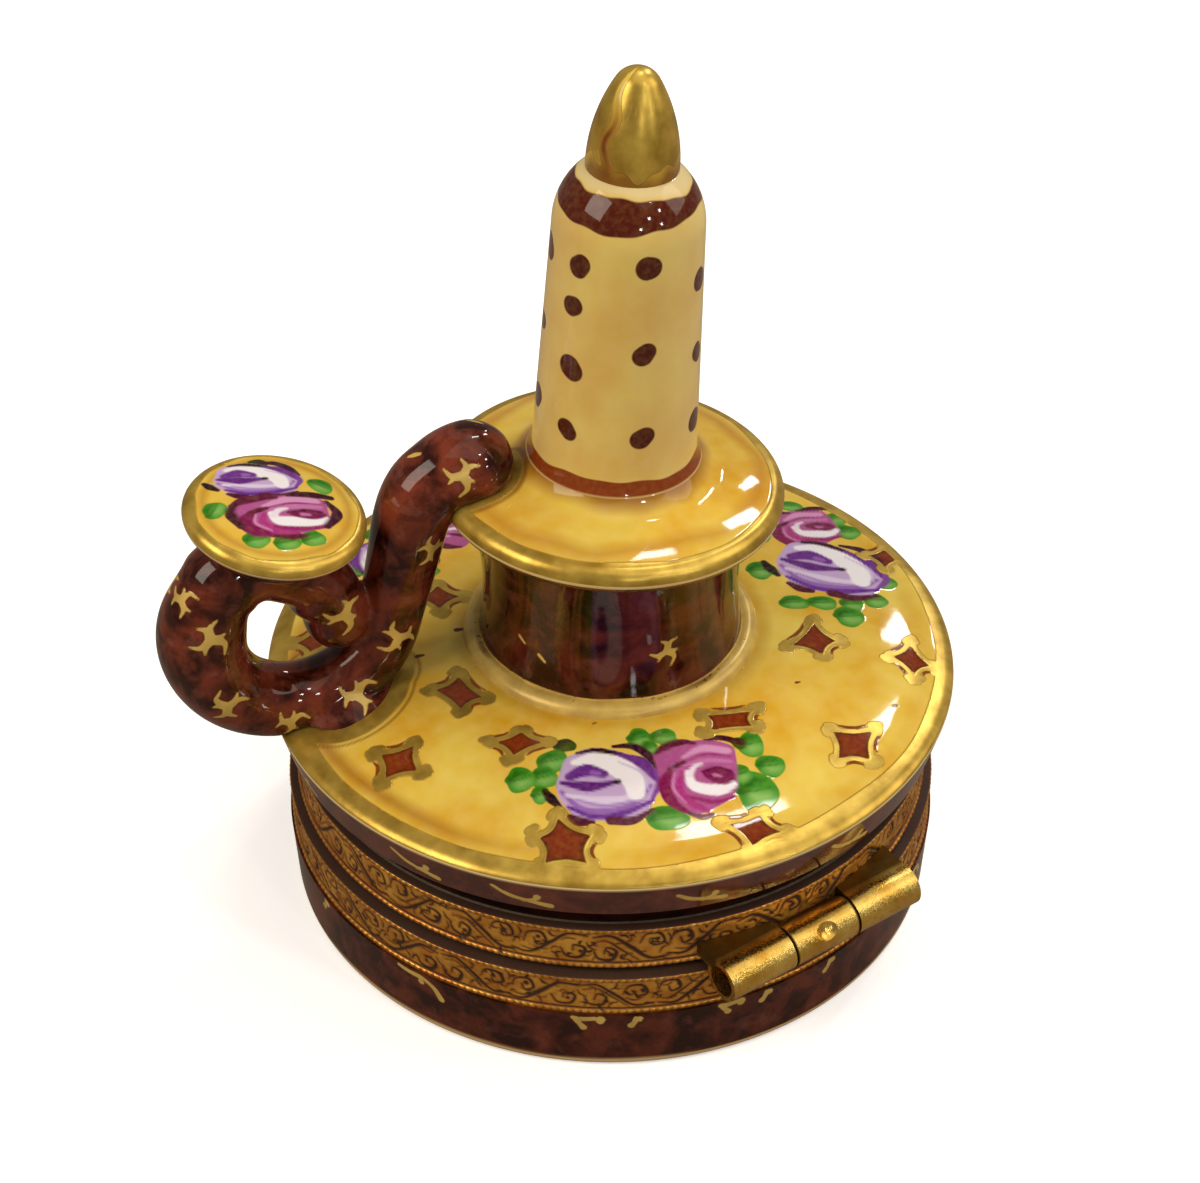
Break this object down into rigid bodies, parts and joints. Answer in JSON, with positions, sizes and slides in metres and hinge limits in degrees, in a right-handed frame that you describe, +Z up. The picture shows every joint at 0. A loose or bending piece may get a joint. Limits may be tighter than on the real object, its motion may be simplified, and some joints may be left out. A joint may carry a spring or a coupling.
{
  "type": "chamberstick-shaped trinket box",
  "caption": "Round porcelain trinket box in the shape of a chamberstick, its brass-mounted lid hinged at the back and carrying a neck, drip pan, candle, flame and scroll handle.",
  "frame": {"origin": "centre of the flat foot, on the table", "axes": "+Z up, out of the foot; +Y towards the hinge at the back; -Y towards the clasp at the front; the scroll handle is on the +X side, 12 degrees round towards the clasp"},
  "size_m": [0.0543, 0.0497, 0.0619],
  "materials": {
    "yellow_glaze": "glossy yellow glaze over white porcelain",
    "brown_glaze": "glossy mottled brown glaze over white porcelain",
    "gilding": "burnished gold over glazed porcelain",
    "brass": "gilt brass, engraved and polished",
    "pin_brass": "dull drawn brass",
    "cement": "matt white mounting cement"
  },
  "bodies": {
    "base": {"base_bowl": "brown_glaze", "base_cement": "cement", "base_bezel": "brass", "catch_bar": "brass", "hinge_knuckle_base": "brass", "hinge_pin": "pin_brass"},
    "lid": {"lid_dish": "yellow_glaze", "lid_cement": "cement", "lid_bezel": "brass", "hinge_knuckle_left": "brass", "hinge_knuckle_right": "brass", "clasp": "brass", "neck": "brown_glaze", "drip_pan": "yellow_glaze", "candle": "yellow_glaze", "flame": "gilding", "scroll_handle": "brown_glaze", "thumb_rest": "yellow_glaze"}
  },
  "joints": [
    {"name": "lid_hinge", "type": "hinge", "parent": "base", "child": "lid", "pos_m": [0, 0.02365, 0.009], "axis": [-1, 0, 0], "range_deg": [0, 95]}
  ]
}
